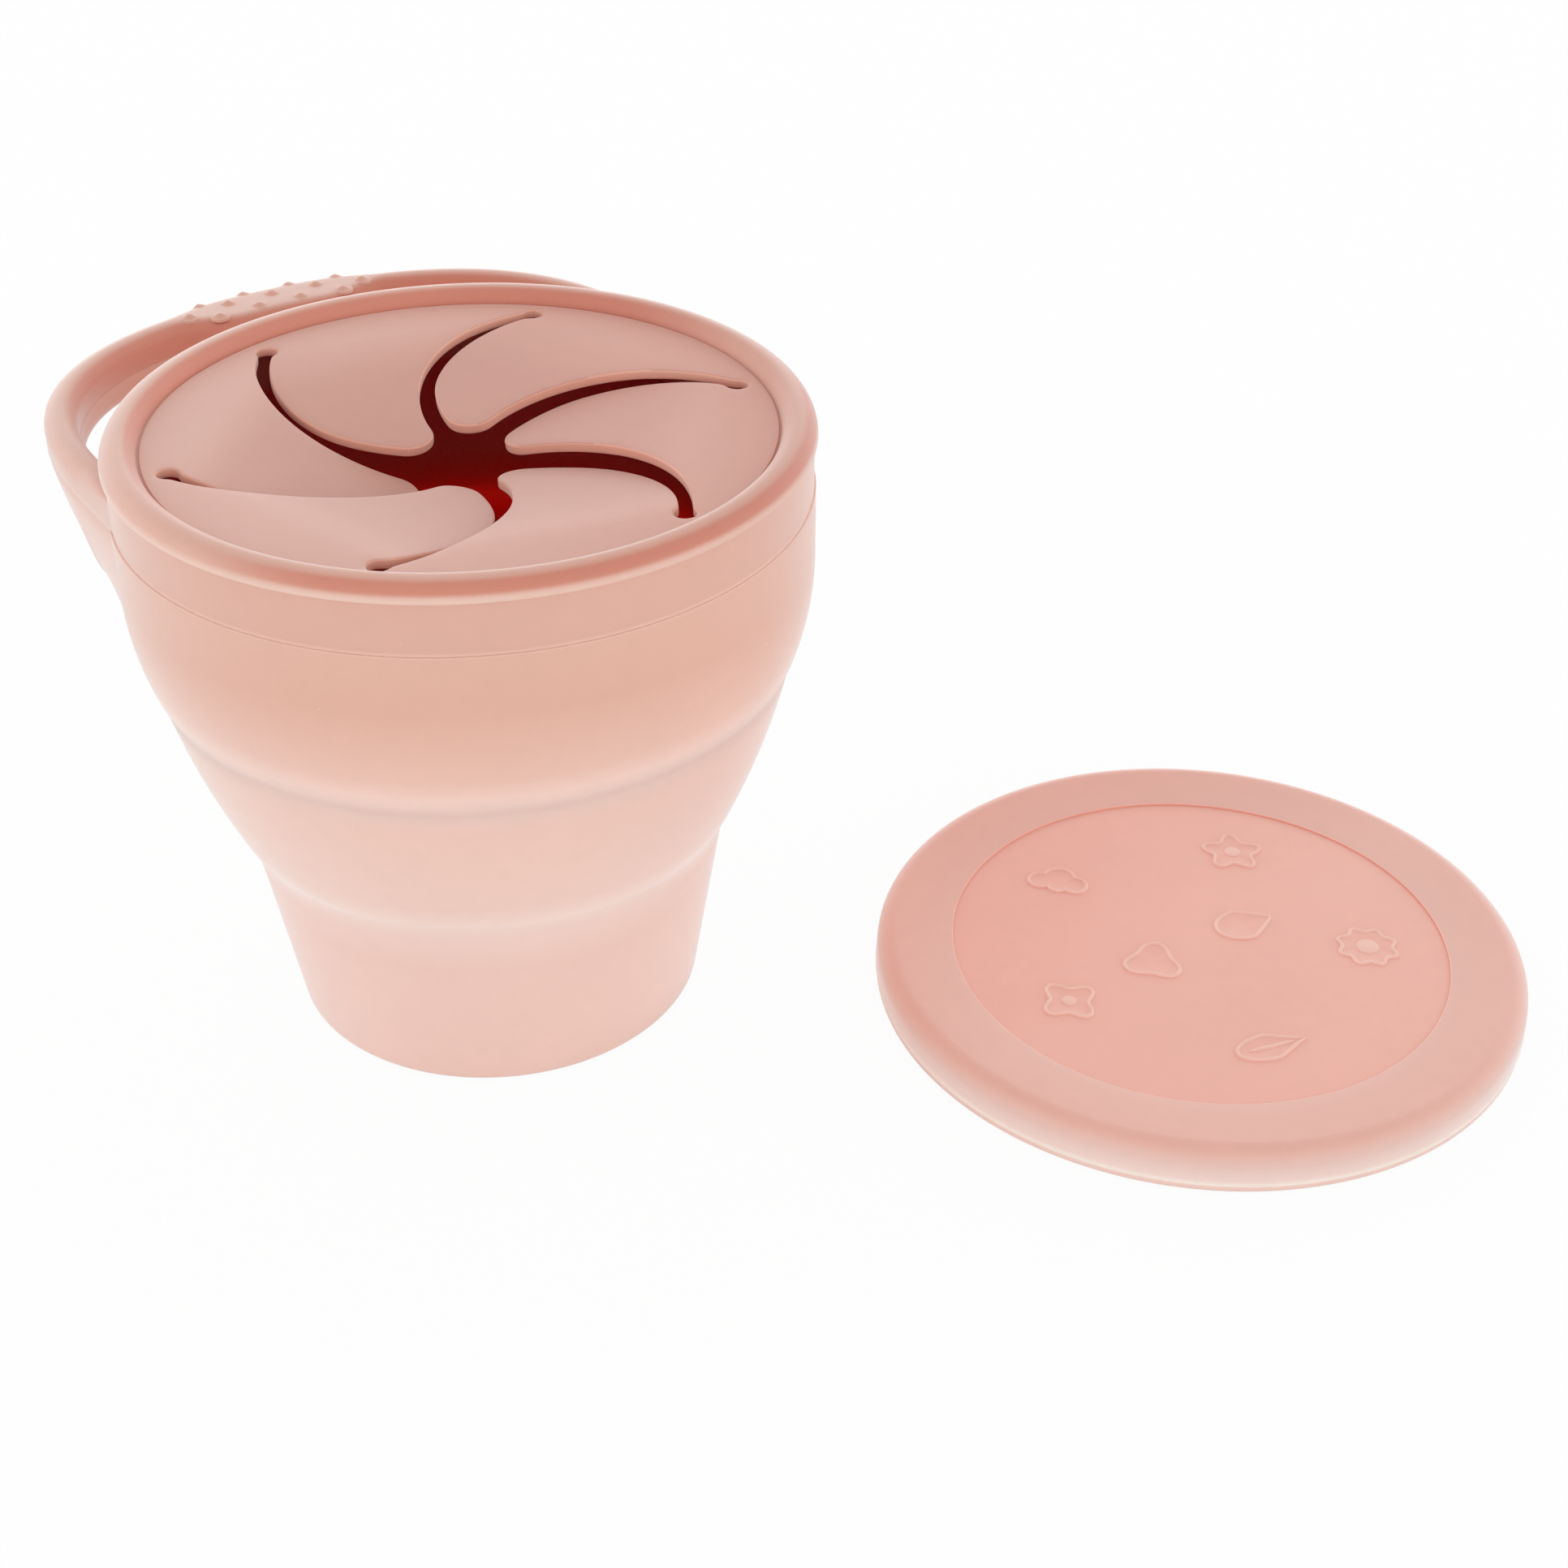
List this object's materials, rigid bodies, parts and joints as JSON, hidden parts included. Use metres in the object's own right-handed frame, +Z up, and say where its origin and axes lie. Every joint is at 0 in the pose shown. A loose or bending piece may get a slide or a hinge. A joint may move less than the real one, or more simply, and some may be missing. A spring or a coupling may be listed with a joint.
{
  "type": "toddler snack cup",
  "caption": "Collapsible silicone snack cup with a petal-slit push-on lid, a split carrying handle with a nubbed grip, and a flat dust cover lying beside it.",
  "frame": {"origin": "middle of the cup's flat foot", "axes": "+Z up along the cup's axis, +X to the right towards the dust cover, +Y away from the viewer"},
  "size_m": [0.2039, 0.1304, 0.0877],
  "materials": {
    "cup_silicone": "matte",
    "fold_silicone": "matte",
    "lid_silicone": "matte",
    "petal_silicone": "matte",
    "cover_silicone": "matte"
  },
  "bodies": {
    "cup_base": {"base_tier": "cup_silicone", "lower_fold": "fold_silicone"},
    "middle_band": {"mid_tier": "cup_silicone", "upper_fold": "fold_silicone"},
    "cup_top": {"top_tier": "cup_silicone", "cup_handle": "cup_silicone"},
    "lid": {"lid_ring": "lid_silicone", "lid_handle": "lid_silicone", "grip_nubs": "lid_silicone"},
    "petal_1": {"petal_1": "petal_silicone"},
    "petal_2": {"petal_2": "petal_silicone"},
    "petal_3": {"petal_3": "petal_silicone"},
    "petal_4": {"petal_4": "petal_silicone"},
    "petal_5": {"petal_5": "petal_silicone"},
    "petal_6": {"petal_6": "petal_silicone"},
    "dust_cover": {"cover_rim": "cover_silicone", "cover_panel": "cover_silicone"}
  },
  "joints": [
    {"name": "cup_fold", "type": "slide", "parent": "cup_base", "child": "cup_top", "axis": [0, 0, -1], "range_m": [0, 0.044], "deforming": ["upper_fold"]},
    {"name": "band_turn", "type": "slide", "parent": "cup_base", "child": "middle_band", "axis": [0, 0, -1], "range_m": [0, 0.022], "deforming": ["lower_fold"]},
    {"name": "lid_lift", "type": "slide", "parent": "cup_top", "child": "lid", "axis": [0, 0, 1], "range_m": [0, 0.03]},
    {"name": "cover_lift", "type": "slide", "parent": "cup_base", "child": "dust_cover", "axis": [0, 0, 1], "range_m": [0, 0.03]},
    {"name": "petal_1_flex", "type": "hinge", "parent": "lid", "child": "petal_1", "pos_m": [-0.00749, 0.03191, 0.085], "axis": [0.9736, 0.2284, 0], "range_deg": [-20, 50], "stiffness_Nm_per_rad": 0.02},
    {"name": "petal_2_flex", "type": "hinge", "parent": "lid", "child": "petal_2", "pos_m": [0.02389, 0.02244, 0.085], "axis": [0.6845, -0.729, 0], "range_deg": [-20, 50], "stiffness_Nm_per_rad": 0.02},
    {"name": "petal_3_flex", "type": "hinge", "parent": "lid", "child": "petal_3", "pos_m": [0.03138, -0.00947, 0.085], "axis": [-0.289, -0.9573, 0], "range_deg": [-20, 50], "stiffness_Nm_per_rad": 0.02},
    {"name": "petal_4_flex", "type": "hinge", "parent": "lid", "child": "petal_4", "pos_m": [0.00749, -0.03191, 0.085], "axis": [-0.9736, -0.2284, 0], "range_deg": [-20, 50], "stiffness_Nm_per_rad": 0.02},
    {"name": "petal_5_flex", "type": "hinge", "parent": "lid", "child": "petal_5", "pos_m": [-0.02389, -0.02244, 0.085], "axis": [-0.6845, 0.729, 0], "range_deg": [-20, 50], "stiffness_Nm_per_rad": 0.02},
    {"name": "petal_6_flex", "type": "hinge", "parent": "lid", "child": "petal_6", "pos_m": [-0.03138, 0.00947, 0.085], "axis": [0.289, 0.9573, 0], "range_deg": [-20, 50], "stiffness_Nm_per_rad": 0.02}
  ],
  "couplings": [
    {"joint": "band_turn", "follows": "cup_fold", "ratio": 0.5}
  ]
}
